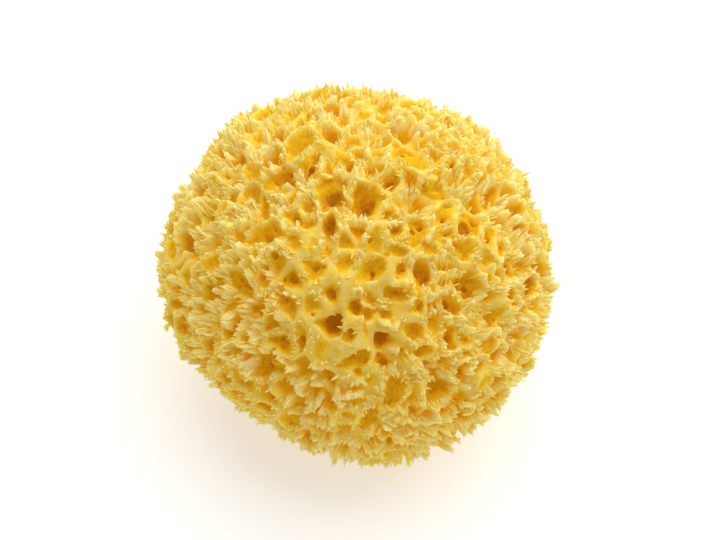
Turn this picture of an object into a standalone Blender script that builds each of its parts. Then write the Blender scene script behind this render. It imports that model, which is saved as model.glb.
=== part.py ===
"""A natural bath sponge: one grown piece, cut flat where it stood on its rock.

Metres, +Z up. The origin is the middle of the cut face that the sponge rests on,
and it is also the root that every tuft and pore points away from.
"""

import math
import random

import bmesh
import bpy
from mathutils import Vector, noise
from mathutils.kdtree import KDTree

MM = 0.001

# Size over the tips of the tufts
WIDTH = 120 * MM
DEPTH = 124 * MM
HEIGHT = 88 * MM
# The round form goes on this far below the cut face
CUT_OFF = 12 * MM

# Lumps of the round form: bearing and rise in degrees, reach in degrees, swell in mm.
# Bearing 0 is the front (-Y) and 90 the right (+X). Rise is above the level of the middle.
LUMPS = (
    (-38, -22, 26, -4.6),
    (-86, -8, 24, 2.6),
    (62, 8, 30, 1.6),
    (18, -24, 24, 1.5),
    (168, 34, 34, -2.6),
    (-140, 22, 26, 1.8),
    (118, 48, 24, 1.4),
    (-20, 62, 30, 1.2),
    (150, -16, 24, 2.0),
    (-120, -20, 24, -1.6),
)

# Tufts: short on the crown, long on the flanks
TUFT_COUNT = 1350
TUFT_JITTER = 0.45
TUFT_SEED = 11
TUFT_REACH = (0.72, 1.0)
TUFT_SHORT = 3.0 * MM
TUFT_LONG = 5.6 * MM
TUFT_FOOT = 2.9 * MM
CROWN_RISE = 46
CROWN_EDGE = (18, 72)

# The main pores, placed as seen face-on from VIEW_RISE above the front, in mm from the
# middle of the outline: right, up, width, length, turn of the length from upright in
# degrees, depth.
VIEW_RISE = 62
VIEW_FROM = 900 * MM
MAIN_PORES = (
    (-8, 23, 9, 14, 80, 9),
    (3, 22, 8, 11, 70, 8),
    (-9, 14, 4, 11, -12, 10),
    (-25, 29, 5, 6, 20, 7),
    (-15, 33, 4, 7, 60, 6),
    (-3, 35, 5, 7, -30, 6),
    (-40, 28, 4, 6, 0, 6),
    (-35, 23, 4, 9, 80, 5),
    (-30, 12, 5, 11, 20, 6),
    (-41, 8, 4, 6, 80, 5),
    (-21, 16, 4, 5, 0, 6),
    (14, 45, 5, 8, 60, 6),
    (25, 46, 3, 6, 0, 5),
    (16, 36, 5, 9, 70, 6),
    (30, 38, 4, 4, 0, 5),
    (25, 27, 5, 5, 0, 6),
    (40, 30, 4, 4, 0, 5),
    (39, 22, 3, 14, 84, 6),
    (35, 13, 6, 7, -30, 9),
    (18, 12, 5, 8, 75, 6),
    (5, 10, 4, 5, 0, 6),
    (13, 12, 3, 3, 0, 7),
    (-21, -3, 5, 6, 0, 9),
    (-30, -1, 5, 5, 0, 6),
    (-38, -3, 6, 9, 60, 6),
    (-13, 1, 4, 6, 80, 7),
    (-8, -7, 4, 4, 0, 9),
    (-23, -11, 4, 5, 0, 7),
    (-8, -17, 5, 6, 0, 13),
    (-3, -20, 4, 3, 0, 7),
    (0, -12, 5, 6, -20, 10),
    (3, -15, 4, 5, 0, 9),
    (11, -7, 5, 5, 0, 7),
    (14, -1, 3, 6, 80, 7),
    (20, -1, 6, 7, 0, 8),
    (5, -1, 4, 6, 85, 6),
    (35, -4, 6, 11, -25, 8),
    (49, 1, 4, 7, 60, 6),
    (18, -12, 4, 4, 0, 7),
    (9, -23, 5, 6, 40, 13),
    (20, -25, 4, 7, 70, 7),
    (30, -21, 4, 10, 10, 7),
    (36, -21, 4, 4, 0, 6),
    (-17, -23, 4, 4, 0, 8),
    (-41, -11, 5, 6, 70, 5),
    (-25, -24, 4, 6, 60, 7),
    (-29, -30, 8, 11, 65, 7),
    (-1, -28, 6, 10, 60, 7),
    (-1, -32, 3, 3, 0, 8),
    (-10, -35, 4, 4, 0, 7),
    (-19, -42, 5, 6, 0, 6),
    (-28, -42, 3, 5, 0, 5),
    (-8, -43, 6, 5, 0, 6),
    (8, -30, 3, 6, -40, 7),
    (11, -38, 4, 9, 0, 7),
    (24, -39, 7, 9, 75, 8),
    (4, -48, 4, 9, 0, 6),
    (34, -32, 4, 4, 0, 6),
    (44, -27, 3, 6, 60, 5),
    (43, -16, 4, 7, 70, 5),
    (23, -46, 3, 6, 30, 5),
)

# The other pores, spread evenly over the flanks and the back
SPREAD_PORES = 330
SPREAD_JITTER = 0.5
PORE_SEED = 23
PORE_WIDTH = (3.4, 6.2)
PORE_STRETCH = (1.0, 1.9)
PORE_DEPTH = (6.0, 10.0)
PORE_GAP = 1.5 * MM
BASE_CALM = 5 * MM
# Their rims wander by this much, over this grain
RAGGED = 0.7 * MM
RAGGED_GRAIN = 4 * MM

# The fine form is made on an icosphere, then thinned to what a solid needs
SPHERE_LEVELS = 7
SOLID_TRIANGLES = 9900

SPONGE_YELLOW = (0.78, 0.48, 0.10)

HALF_AXES = Vector((WIDTH / 2, DEPTH / 2, (HEIGHT + CUT_OFF) / 2))
MIDDLE = Vector((0, 0, HEIGHT - HALF_AXES.z))


def toward(bearing, rise):
    """The unit vector at a bearing and rise in degrees."""
    across = math.cos(math.radians(rise))
    return Vector((
        math.sin(math.radians(bearing)) * across,
        -math.cos(math.radians(bearing)) * across,
        math.sin(math.radians(rise)),
    ))


def ease(value, low, high):
    """0 below low, 1 above high, and a smooth step between."""
    share = min(1.0, max(0.0, (value - low) / (high - low)))
    return share * share * (3 - 2 * share)


def tip_surface(direction):
    """The point of the surface over the tuft tips in this direction from the middle."""
    swell = 0.0
    for bearing, rise, reach, height in LUMPS:
        sharpness = 2 / math.radians(reach) ** 2
        cosine = direction.dot(toward(bearing, rise))
        swell += height * MM * math.exp((cosine - 1) * sharpness)
    round_form = Vector(a * d for a, d in zip(HALF_AXES, direction))
    return MIDDLE + round_form + direction * swell


def tuft_height(direction):
    """How far a tuft stands over the web between the pores."""
    angle = math.degrees(direction.angle(toward(0, CROWN_RISE)))
    return TUFT_SHORT + (TUFT_LONG - TUFT_SHORT) * ease(angle, *CROWN_EDGE)


def even_directions(count, jitter, rng):
    """Directions spread evenly by the golden angle, each moved a little."""
    golden = math.pi * (3 - math.sqrt(5))
    step = math.sqrt(4 * math.pi / count) * jitter
    for n in range(count):
        z = 1 - (2 * n + 1) / count
        across = math.sqrt(1 - z * z)
        even = Vector((math.cos(golden * n) * across, math.sin(golden * n) * across, z))
        nudge = Vector(rng.uniform(-step, step) for _ in range(3))
        yield (even + nudge).normalized()


def seen_direction(right, up):
    """The direction from the middle of a spot seen from the front, in mm on the outline's plane."""
    to_eye = toward(0, VIEW_RISE)
    upward = toward(180, 90 - VIEW_RISE)
    eye = to_eye * VIEW_FROM
    spot = Vector((right * MM, 0, 0)) + upward * up * MM
    ray = (spot - eye).normalized()
    # In the space where the round form is a unit sphere the ray meets it at a quadratic's near root
    start = Vector(p / a for p, a in zip(eye, HALF_AXES))
    run = Vector(r / a for r, a in zip(ray, HALF_AXES))
    half_b = start.dot(run)
    root = max(0.0, half_b * half_b - run.length_squared * (start.length_squared - 1))
    return (start + run * ((-half_b - math.sqrt(root)) / run.length_squared)).normalized()


def pores(rng):
    """Each pore as its mouth, its two half sizes with their directions, and its depth."""
    placed = []
    for right, up, width, length, turn, depth in MAIN_PORES:
        placed.append((seen_direction(right, up), width * MM, length * MM, turn, depth * MM))
    for direction in even_directions(SPREAD_PORES, SPREAD_JITTER, rng):
        width = rng.uniform(*PORE_WIDTH) * MM
        length = width * rng.uniform(*PORE_STRETCH)
        turn = rng.uniform(0, 180)
        depth = rng.uniform(*PORE_DEPTH) * MM
        mouth = tip_surface(direction)
        if mouth.z < BASE_CALM:
            continue
        if all(
            (mouth - tip_surface(d)).length > (length + l) / 2 + PORE_GAP
            for d, w, l, t, p in placed
        ):
            placed.append((direction, width, length, turn, depth))
    for direction, width, length, turn, depth in placed:
        upright = (Vector((0, 0, 1)) - direction * direction.z).normalized()
        sideways = upright.cross(direction)
        along = upright * math.cos(math.radians(turn)) + sideways * math.sin(math.radians(turn))
        yield tip_surface(direction), along.cross(direction), along, width / 2, length / 2, depth


def pore_drops(points, rng):
    """How far each point sinks into a pore."""
    tree = KDTree(len(points))
    for n, point in enumerate(points):
        tree.insert(point, n)
    tree.balance()
    drops = [0.0] * len(points)
    for mouth, across, along, half_width, half_length, depth in pores(rng):
        for point, n, _ in tree.find_range(mouth, half_length + RAGGED):
            offset = point - mouth + noise.noise_vector(point / RAGGED_GRAIN) * RAGGED
            share = math.hypot(offset.dot(across) / half_width, offset.dot(along) / half_length)
            if share < 1:
                drops[n] = max(drops[n], depth * (1 - share**4))
    return drops


def tuft_drops(directions, points, rng):
    """How far each point lies below the tuft tips."""
    roots = [tip_surface(d) for d in even_directions(TUFT_COUNT, TUFT_JITTER, rng)]
    tree = KDTree(len(roots))
    for n, root in enumerate(roots):
        tree.insert(root, n)
    tree.balance()
    shares = [rng.uniform(*TUFT_REACH) for _ in roots]
    drops = []
    for direction, point in zip(directions, points):
        _, nearest, distance = tree.find(point)
        cone = max(0.0, 1 - distance / TUFT_FOOT)
        drops.append(tuft_height(direction) * (1 - cone * shares[nearest]))
    return drops


def make_sponge():
    """The sponge's fine form, before it is thinned and cut off its rock."""
    form = bmesh.new()
    bmesh.ops.create_icosphere(form, subdivisions=SPHERE_LEVELS, radius=1)
    directions = [vert.co.normalized() for vert in form.verts]
    points = [tip_surface(direction) for direction in directions]
    tufts = tuft_drops(directions, points, random.Random(TUFT_SEED))
    sunk = pore_drops(points, random.Random(PORE_SEED))
    for vert, point, tuft, pore in zip(form.verts, points, tufts, sunk):
        reach = point.length
        calm = ease(point.z, -CUT_OFF, 0)
        vert.co = point * (1 - (tuft + pore) * calm / reach)
    mesh = bpy.data.meshes.new("sponge")
    form.to_mesh(mesh)
    form.free()
    return bpy.data.objects.new("sponge", mesh)


def thin(sponge):
    """Leaves the triangles where the form bends most."""
    decimate = sponge.modifiers.new("thin", "DECIMATE")
    decimate.ratio = SOLID_TRIANGLES / len(sponge.data.polygons)


def cut_off_rock(sponge, cutters):
    """The flat cut face at z = 0."""
    form = bmesh.new()
    bmesh.ops.create_cube(form, size=1)
    bmesh.ops.scale(form, vec=(2 * WIDTH, 2 * DEPTH, 4 * CUT_OFF), verts=form.verts)
    bmesh.ops.translate(form, vec=(0, 0, -2 * CUT_OFF), verts=form.verts)
    mesh = bpy.data.meshes.new("rock")
    form.to_mesh(mesh)
    form.free()
    rock = bpy.data.objects.new("rock", mesh)
    rock.hide_render = True
    rock.display_type = "WIRE"
    cutters.objects.link(rock)
    cut = sponge.modifiers.new("cut", "BOOLEAN")
    cut.operation = "DIFFERENCE"
    cut.object = rock


def sponge_material():
    """Bleached spongin: matt, golden yellow."""
    material = bpy.data.materials.new("bleached_sponge")
    material.use_nodes = True
    shader = material.node_tree.nodes["Principled BSDF"]
    shader.inputs["Base Color"].default_value = (*SPONGE_YELLOW, 1)
    shader.inputs["Roughness"].default_value = 0.9
    shader.inputs["Metallic"].default_value = 0.0
    return material


def main():
    for obj in list(bpy.data.objects):
        bpy.data.objects.remove(obj)
    parts = bpy.data.collections.new("sea_sponge")
    cutters = bpy.data.collections.new("cutters")
    for collection in (parts, cutters):
        bpy.context.scene.collection.children.link(collection)
    sponge = make_sponge()
    parts.objects.link(sponge)
    sponge.data.materials.append(sponge_material())
    thin(sponge)
    cut_off_rock(sponge, cutters)


main()
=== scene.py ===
"""A natural bath sponge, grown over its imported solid.

The sponge is shaped as clay on a grid of voxels: a domed web of spongin, hollows walled
off from each other, and pores bored along its growth lines, which all leave the middle
of the cut face. Tufts stand on the walls between the hollows, and fibres on the tufts.
"""

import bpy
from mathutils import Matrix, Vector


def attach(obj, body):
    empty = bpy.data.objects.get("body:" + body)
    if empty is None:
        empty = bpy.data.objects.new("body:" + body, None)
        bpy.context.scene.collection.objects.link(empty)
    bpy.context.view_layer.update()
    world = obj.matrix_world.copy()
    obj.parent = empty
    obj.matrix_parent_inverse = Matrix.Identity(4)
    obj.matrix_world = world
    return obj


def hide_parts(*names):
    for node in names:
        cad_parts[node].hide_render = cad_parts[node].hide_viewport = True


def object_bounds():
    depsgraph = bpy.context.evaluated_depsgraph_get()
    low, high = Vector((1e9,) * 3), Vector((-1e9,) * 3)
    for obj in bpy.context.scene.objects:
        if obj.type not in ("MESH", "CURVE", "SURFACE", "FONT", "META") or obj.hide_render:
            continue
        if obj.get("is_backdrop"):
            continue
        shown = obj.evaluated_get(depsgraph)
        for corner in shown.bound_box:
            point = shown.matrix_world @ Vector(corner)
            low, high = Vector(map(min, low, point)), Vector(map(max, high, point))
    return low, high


bl_info = {
    "name": "Natural Bath Sponge",
    "version": (1, 0, 0),
    "blender": (4, 5, 0),
    "location": "3D View > Sidebar > Sponge",
    "description": "Grows a honeycomb bath sponge with pores, webs and fibre tufts",
    "category": "Add Mesh",
}

import copy
import math
import random

import bmesh
import bpy
import numpy as np
import openvdb
from bpy.props import (
    FloatProperty,
    FloatVectorProperty,
    IntProperty,
    PointerProperty,
)
from mathutils import Vector
from mathutils.kdtree import KDTree

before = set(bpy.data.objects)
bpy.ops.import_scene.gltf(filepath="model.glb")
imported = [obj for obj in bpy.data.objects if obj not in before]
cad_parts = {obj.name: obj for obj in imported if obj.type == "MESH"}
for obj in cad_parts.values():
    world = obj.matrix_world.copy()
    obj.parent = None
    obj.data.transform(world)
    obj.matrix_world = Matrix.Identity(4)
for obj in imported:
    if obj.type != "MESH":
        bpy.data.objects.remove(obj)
CAD_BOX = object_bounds()

# The file works in mm; meshes and places in the scene are in metres
MM = 0.001
NODE = "sponge"
BODY = "root"

# The round form over the tuft tips, in mm, as the solid has it too
HALF_AXES = (60.0, 62.0, 50.0)
MIDDLE_HEIGHT = 38.0

# Lumps: bearing and rise in degrees, reach in degrees, swell in mm.
# Bearing 0 is the front (-Y) and 90 the right (+X).
LUMPS = (
    (-38, -22, 26, -4.6),
    (-86, -8, 24, 2.6),
    (62, 8, 30, 1.6),
    (18, -24, 24, 1.5),
    (168, 34, 34, -2.6),
    (-140, 22, 26, 1.8),
    (118, 48, 24, 1.4),
    (-20, 62, 30, 1.2),
    (150, -16, 24, 2.0),
    (-120, -20, 24, -1.6),
)

# The photograph's viewing angle and distance, by which the main pores are placed, in
# degrees and mm
VIEW_RISE = 62
VIEW_FROM = 900.0

# The crown, where the web is soft: its rise, and how far from it the web turns tufted,
# in degrees
CROWN_RISE = 46
CROWN_EDGE = (3, 35)

# Main pores where the photograph shows them: right and up from the sponge's middle in the
# view, width, length, turn from upright in degrees, and depth, in mm
MAIN_PORES = (
    (-8, 23, 9, 14, 80, 9),
    (3, 22, 8, 11, 70, 8),
    (-9, 14, 4, 11, -12, 10),
    (-25, 29, 5, 6, 20, 7),
    (-15, 33, 4, 7, 60, 6),
    (-3, 35, 5, 7, -30, 6),
    (-40, 28, 4, 6, 0, 6),
    (-35, 23, 4, 9, 80, 5),
    (-30, 12, 5, 11, 20, 6),
    (-41, 8, 4, 6, 80, 5),
    (-21, 16, 4, 5, 0, 6),
    (14, 45, 5, 8, 60, 6),
    (25, 46, 3, 6, 0, 5),
    (16, 36, 5, 9, 70, 6),
    (30, 38, 4, 4, 0, 5),
    (25, 27, 5, 5, 0, 6),
    (40, 30, 4, 4, 0, 5),
    (39, 22, 3, 14, 84, 6),
    (35, 13, 6, 7, -30, 9),
    (18, 12, 5, 8, 75, 6),
    (5, 10, 4, 5, 0, 6),
    (13, 12, 3, 3, 0, 7),
    (-21, -3, 5, 6, 0, 9),
    (-30, -1, 5, 5, 0, 6),
    (-38, -3, 6, 9, 60, 6),
    (-13, 1, 4, 6, 80, 7),
    (-8, -7, 4, 4, 0, 9),
    (-23, -11, 4, 5, 0, 7),
    (-8, -17, 5, 6, 0, 13),
    (-3, -20, 4, 3, 0, 7),
    (0, -12, 5, 6, -20, 10),
    (3, -15, 4, 5, 0, 9),
    (11, -7, 5, 5, 0, 7),
    (14, -1, 3, 6, 80, 7),
    (20, -1, 6, 7, 0, 8),
    (5, -1, 4, 6, 85, 6),
    (35, -4, 6, 11, -25, 8),
    (49, 1, 4, 7, 60, 6),
    (18, -12, 4, 4, 0, 7),
    (9, -23, 5, 6, 40, 13),
    (20, -25, 4, 7, 70, 7),
    (30, -21, 4, 10, 10, 7),
    (36, -21, 4, 4, 0, 6),
    (-17, -23, 4, 4, 0, 8),
    (-41, -11, 5, 6, 70, 5),
    (-25, -24, 4, 6, 60, 7),
    (-29, -30, 8, 11, 65, 7),
    (-1, -28, 6, 10, 60, 7),
    (-1, -32, 3, 3, 0, 8),
    (-10, -35, 4, 4, 0, 7),
    (-19, -42, 5, 6, 0, 6),
    (-28, -42, 3, 5, 0, 5),
    (-8, -43, 6, 5, 0, 6),
    (8, -30, 3, 6, -40, 7),
    (11, -38, 4, 9, 0, 7),
    (24, -39, 7, 9, 75, 8),
    (4, -48, 4, 9, 0, 6),
    (34, -32, 4, 4, 0, 6),
    (44, -27, 3, 6, 60, 5),
    (43, -16, 4, 7, 70, 5),
    (23, -46, 3, 6, 30, 5),
)
# Main pores that open into each other, by their places above, and the share of their
# depth and of their half width that the opening between them has
JOINED_PORES = ((0, 1), (28, 29), (30, 31), (6, 7))
JOINED_DEPTH = 0.36
JOINED_WIDTH = 0.72

# Pores spread over the flanks and the back: how many are tried and how unevenly, their
# sizes, least and most, and the gap that they leave to the next, in mm
SPREAD_PORES = 330
SPREAD_JITTER = 0.5
PORE_WIDTH = (3.4, 6.2)
PORE_STRETCH = (1.0, 1.9)
PORE_DEPTH = (6.0, 10.0)
PORE_GAP = 1.5
# The height above the cut face below which none of them opens, in mm
BASE_CALM = 5.0

# The basin round a pore: the share of its width that the tufts leave open, and of its depth
BASIN_WIDTH = 0.86
BASIN_DEPTH = 0.42
# What a pore's basin takes of its depth, and the least that is left for the pore, in mm
BASIN_TAKES = 4
LEAST_DEEPER = 0.5
# The share of its width that a pore keeps below its basin, and what each mm of depth and
# the crown add to that
SINK_SHARE = 0.74
SINK_PER_MM = 0.022
SINK_CROWN = 0.18
# The openings in a pore's side walls: their radius and length in mm, where they start as
# a share of its depth, and how far they turn inwards
SIDE_RADIUS = (0.6, 1.1)
SIDE_REACH = (1.0, 3.0)
SIDE_START = (0.2, 0.6)
SIDE_INWARD = (-0.2, 1.2)

# Small hollows between the pores: how many are tried, and their sizes, least and most, in
# mm. A gap below 0 lets their rims cut into their neighbours', and none lies below the base.
SMALL_HOLLOWS = 1500
HOLLOW_WIDTH = (2.4, 4.6)
HOLLOW_STRETCH = (1.0, 1.6)
HOLLOW_DEPTH = (1.5, 3.5)
HOLLOW_TO_PORE = -0.4
HOLLOW_TO_HOLLOW = -1.2
HOLLOW_BASE = 1

# The walls: what each side gains for each mm below its crest, down to how many mm, and how
# far the corner where it meets a hollow's floor is rounded, in mm
WALL_FLARE = 0.36
FLARE_DEPTH = 8
CORNER_BLEND = 2.8
# On the crown, how much shallower a floor is outside its hollow's oval, and how far
# outside it is so in full, in mm
CROWN_SHELF = 0.5
SHELF_REACH = 1.5
# Half the walls' thickness at their crests on the crown, and what the flanks have less, in mm
CREST_HALF = 1.0
FLANK_THINNER = 0.35

# Fine pores: how unevenly they are spread, the lowest one's height, their least radius
# and what the widest add to it, and their depth, in mm; then their mouth and end as shares
# of the radius, and how far they turn from the growth line
FINE_JITTER = 0.6
FINE_BASE = 1
FINE_RADIUS = 0.45
FINE_WIDER = 0.75
FINE_DEPTH = (1.6, 3.2)
FINE_MOUTH = 1.3
FINE_END = 0.9
FINE_TURN = 0.3

# Pores that the cut laid bare: how many, how far from the middle, where they start below
# the face, how much farther than that they reach above it, their least radius and what
# the widest add to it, in mm
CUT_PORES = 260
CUT_REACH = 46
CUT_START = -2.0
CUT_DEPTH = (1, 6)
CUT_RADIUS = 0.6
CUT_WIDER = 1.6
# The share of its radius that a bored channel ends with
BORE_END = 0.7

# Tufts and fibres: how unevenly they are spread, how high above the cut face their points
# start, in mm, and how strongly they lean away from the crown
TIP_JITTER = 0.8
TIP_BASE = 2.5
TUFT_LEAN = 1.2
# A tuft's clay root: its radius, what each mm of its height adds, and the most, in mm;
# then how far apart its two cones start and end, as shares of that radius, where they end
# and how deep they start, as shares of its height, and how thick they end
ROOT_RADIUS = 0.32
ROOT_WIDER = 0.24
ROOT_MOST = 0.92
ROOT_APART = (0.6, 1.1)
ROOT_APART_ABOVE = (0.5, 0.9)
ROOT_TOP = (0.5, 0.85)
ROOT_SUNK = 0.3
ROOT_POINT = 0.4

# The roughness of the whole skin: its grain and its height, in mm
SKIN_GRAIN = 1.4
SKIN_HEIGHT = 0.14

# What a fibre needs at its point, as the clay's value there in mm: below 0 is outside
CLEAR_OF_CLAY = -0.5

# One seed for each thing that grows by chance
PORE_SEED = 23
CLAY_SEED = 41
WALL_SEED = 8
WARP_SEED = 5
TUFT_PLACE_SEED = 3
TUFT_SEED = 17
TOOTH_PLACE_SEED = 7
FIBRE_PLACE_SEED = 11
FIBRE_SEED = 29


def linear(hex_colour):
    """An sRGB hex colour as linear RGBA."""
    channels = [int(hex_colour[n : n + 2], 16) / 255 for n in (1, 3, 5)]
    return (*[c / 12.92 if c < 0.04045 else ((c + 0.055) / 1.055) ** 2.4 for c in channels], 1)


def colour_property(name, description, hex_colour):
    """A colour that the panel offers."""
    return FloatVectorProperty(
        name=name,
        description=description,
        default=linear(hex_colour),
        subtype="COLOR",
        size=4,
        min=0,
        max=1,
    )


class SpongeForm(bpy.types.PropertyGroup):
    """Sizes of the sponge's grown structure."""

    voxel: FloatProperty(
        name="Voxel",
        description="Edge of the clay's voxels",
        default=0.5 * MM,
        min=0.3 * MM,
        unit="LENGTH",
    )
    crown_web: FloatProperty(
        name="Crown web",
        description="How far the walls' crests lie below the tuft tips on the crown",
        default=1.8 * MM,
        unit="LENGTH",
    )
    flank_web: FloatProperty(
        name="Flank web",
        description="How far the walls' crests lie below the tuft tips on the flanks",
        default=3.5 * MM,
        unit="LENGTH",
    )
    fine_pores: IntProperty(
        name="Fine pores",
        description="Small pores over the whole web",
        default=520,
    )
    wall_fibres: IntProperty(
        name="Wall fibres",
        description="Fibres over the whole dome, before those off the tufts are left out",
        default=150000,
    )
    rim_teeth: IntProperty(
        name="Rim teeth",
        description="Teeth over the whole dome, before those off the hollows' rims are left out",
        default=15000,
    )
    tufts: IntProperty(
        name="Tufts",
        description="Tufts over the whole dome, before those in hollows are left out",
        default=7500,
    )
    body_triangles: IntProperty(
        name="Body triangles",
        description="Triangles left in the sponge's body",
        default=198000,
    )


class SpongeColours(bpy.types.PropertyGroup):
    """Colours of the spongin by its depth, of the painted glow that stands for the light it lets
    through, and of the floor.
    """

    body_tip: colour_property("Body tips", "Tufts' tips on the body", "#EEDC98")
    fibre_tip: colour_property("Fibre tips", "Points of the loose fibres", "#F2E2A0")
    crest: colour_property("Crests", "Crests of the walls", "#E6CE6E")
    lemon: colour_property("Lemon", "Shallow hollows", "#EAC632")
    gold: colour_property("Gold", "Deeper hollows", "#E4BA14")
    amber: colour_property("Amber", "Pores' walls", "#D29C0A")
    brown: colour_property("Brown", "Pores' ends", "#B4640A")
    # Painted glow: the body's emission colour, which stands for light seeping through it
    painted_body_glow: colour_property("Body glow", "Light that seeps through the body", "#DC9C12")
    # Painted glow: the fibres' emission colour, which stands for light coming through them
    painted_fibre_glow: colour_property("Fibre glow", "Light that comes through the fibres", "#E8D460")
    paper: colour_property("Paper", "The floor", "#E4E4E2")


class SpongeStudio(bpy.types.PropertyGroup):
    """The photograph's view of the sponge, and the light on it."""

    view_rise: FloatProperty(
        name="View rise",
        description="Height of the camera above the horizon",
        default=math.radians(VIEW_RISE),
        subtype="ANGLE",
    )
    view_from: FloatProperty(
        name="View distance",
        description="Distance of the camera from the sponge's middle",
        default=VIEW_FROM * MM,
        subtype="DISTANCE",
        unit="LENGTH",
    )
    view_width: FloatProperty(
        name="View width",
        description="Width of the picture at the sponge",
        default=220.9 * MM,
        subtype="DISTANCE",
        unit="LENGTH",
    )


def in_mm(length):
    """A length that the panel holds in metres, in mm and as exact as the panel has it."""
    return float(np.float32(round(length / MM, 4)))


def toward(bearing, rise):
    """The unit vector at a bearing and rise in degrees."""
    across = math.cos(math.radians(rise))
    return np.array((
        math.sin(math.radians(bearing)) * across,
        -math.cos(math.radians(bearing)) * across,
        math.sin(math.radians(rise)),
    ))


def unit(vectors):
    """These vectors, each along the last axis, at a length of 1."""
    return vectors / np.linalg.norm(vectors, axis=-1, keepdims=True)


def ease(value, low, high):
    """0 below low, 1 above high, and a smooth step between."""
    share = np.clip((value - low) / (high - low), 0, 1)
    return share * share * (3 - 2 * share)


def swell(x, y, z):
    """How far the lumps raise the round form in these unit directions, in mm."""
    raised = 0
    for bearing, rise, reach, height in LUMPS:
        dx, dy, dz = toward(bearing, rise)
        sharpness = 2 / math.radians(reach) ** 2
        raised = raised + height * np.exp((x * dx + y * dy + z * dz - 1) * sharpness)
    return raised


def tip_surface(directions):
    """The points over the tuft tips in these directions from the middle."""
    raised = swell(*np.moveaxis(directions, -1, 0))
    round_form = directions * np.array(HALF_AXES)
    return np.array((0, 0, MIDDLE_HEIGHT)) + round_form + directions * raised[..., None]


def tips_along(growth):
    """Where growth lines in these directions from the origin meet the tip surface."""
    line = growth / HALF_AXES
    sunk = MIDDLE_HEIGHT / HALF_AXES[2]
    half_b = line[..., 2] * sunk
    square = (line**2).sum(-1)
    reach = (half_b + np.sqrt(half_b**2 + square * (1 - sunk**2))) / square
    out = unit((growth * reach[..., None] - (0, 0, MIDDLE_HEIGHT)) / HALF_AXES)
    return tip_surface(out)


def flank_share(points):
    """0 on the crown, where the web is smooth, and 1 on the flanks."""
    out = unit(points - (0, 0, MIDDLE_HEIGHT))
    cosine = np.clip(out @ toward(0, CROWN_RISE), -1, 1)
    return ease(np.degrees(np.arccos(cosine)), *CROWN_EDGE)


def even_directions(count, jitter, rng):
    """Directions spread evenly by the golden angle, each moved a little."""
    golden = math.pi * (3 - math.sqrt(5))
    step = math.sqrt(4 * math.pi / count) * jitter
    for n in range(count):
        z = 1 - (2 * n + 1) / count
        across = math.sqrt(1 - z * z)
        even = (math.cos(golden * n) * across, math.sin(golden * n) * across, z)
        yield unit(np.array(even) + [rng.uniform(-step, step) for _ in range(3)])


def seen_direction(right, up):
    """The direction from the middle of a spot placed by the view, in mm on the outline's plane."""
    eye = toward(0, VIEW_RISE) * VIEW_FROM
    spot = np.array((right, 0, 0)) + toward(180, 90 - VIEW_RISE) * up
    start = eye / HALF_AXES
    run = unit(spot - eye) / HALF_AXES
    half_b = start @ run
    root = max(0.0, half_b * half_b - (run @ run) * (start @ start - 1))
    return unit(start + run * ((-half_b - math.sqrt(root)) / (run @ run)))


class Pore:
    """A pore: its mouth on the tip surface, and its axes, half sizes and depth in mm."""

    def __init__(self, direction, width, length, turn, depth):
        self.mouth = tip_surface(direction)
        self.inward = -unit(self.mouth)
        upright = unit(np.array((0, 0, 1)) - direction * direction[2])
        sideways = np.cross(upright, direction)
        angle = math.radians(turn)
        self.along = upright * math.cos(angle) + sideways * math.sin(angle)
        self.across = np.cross(self.along, direction)
        self.half_width = width / 2
        self.half_length = length / 2
        self.depth = depth


def fits_between(pore, others, gap):
    """Whether the pore keeps clear of the others."""
    return all(
        math.dist(pore.mouth, other.mouth) > pore.half_length + other.half_length + gap
        for other in others
    )


def grown_pores():
    """The main pores, and the others spread over the flanks and the back."""
    rng = random.Random(PORE_SEED)
    placed = []
    for right, up, width, length, turn, depth in MAIN_PORES:
        placed.append(Pore(seen_direction(right, up), width, length, turn, depth))
    for direction in even_directions(SPREAD_PORES, SPREAD_JITTER, rng):
        width = rng.uniform(*PORE_WIDTH)
        length = width * rng.uniform(*PORE_STRETCH)
        turn = rng.uniform(0, 180)
        pore = Pore(direction, width, length, turn, rng.uniform(*PORE_DEPTH))
        if pore.mouth[2] > BASE_CALM and fits_between(pore, placed, PORE_GAP):
            placed.append(pore)
    return placed


def small_hollows(pores, rng):
    """Smaller hollows that fill the web between the pores."""
    placed = []
    for direction in even_directions(SMALL_HOLLOWS, SPREAD_JITTER, rng):
        width = rng.uniform(*HOLLOW_WIDTH)
        length = width * rng.uniform(*HOLLOW_STRETCH)
        turn = rng.uniform(0, 180)
        hollow = Pore(direction, width, length, turn, rng.uniform(*HOLLOW_DEPTH))
        if hollow.mouth[2] > HOLLOW_BASE and fits_between(hollow, pores, HOLLOW_TO_PORE):
            if fits_between(hollow, placed, HOLLOW_TO_HOLLOW):
                placed.append(hollow)
    return placed


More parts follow.
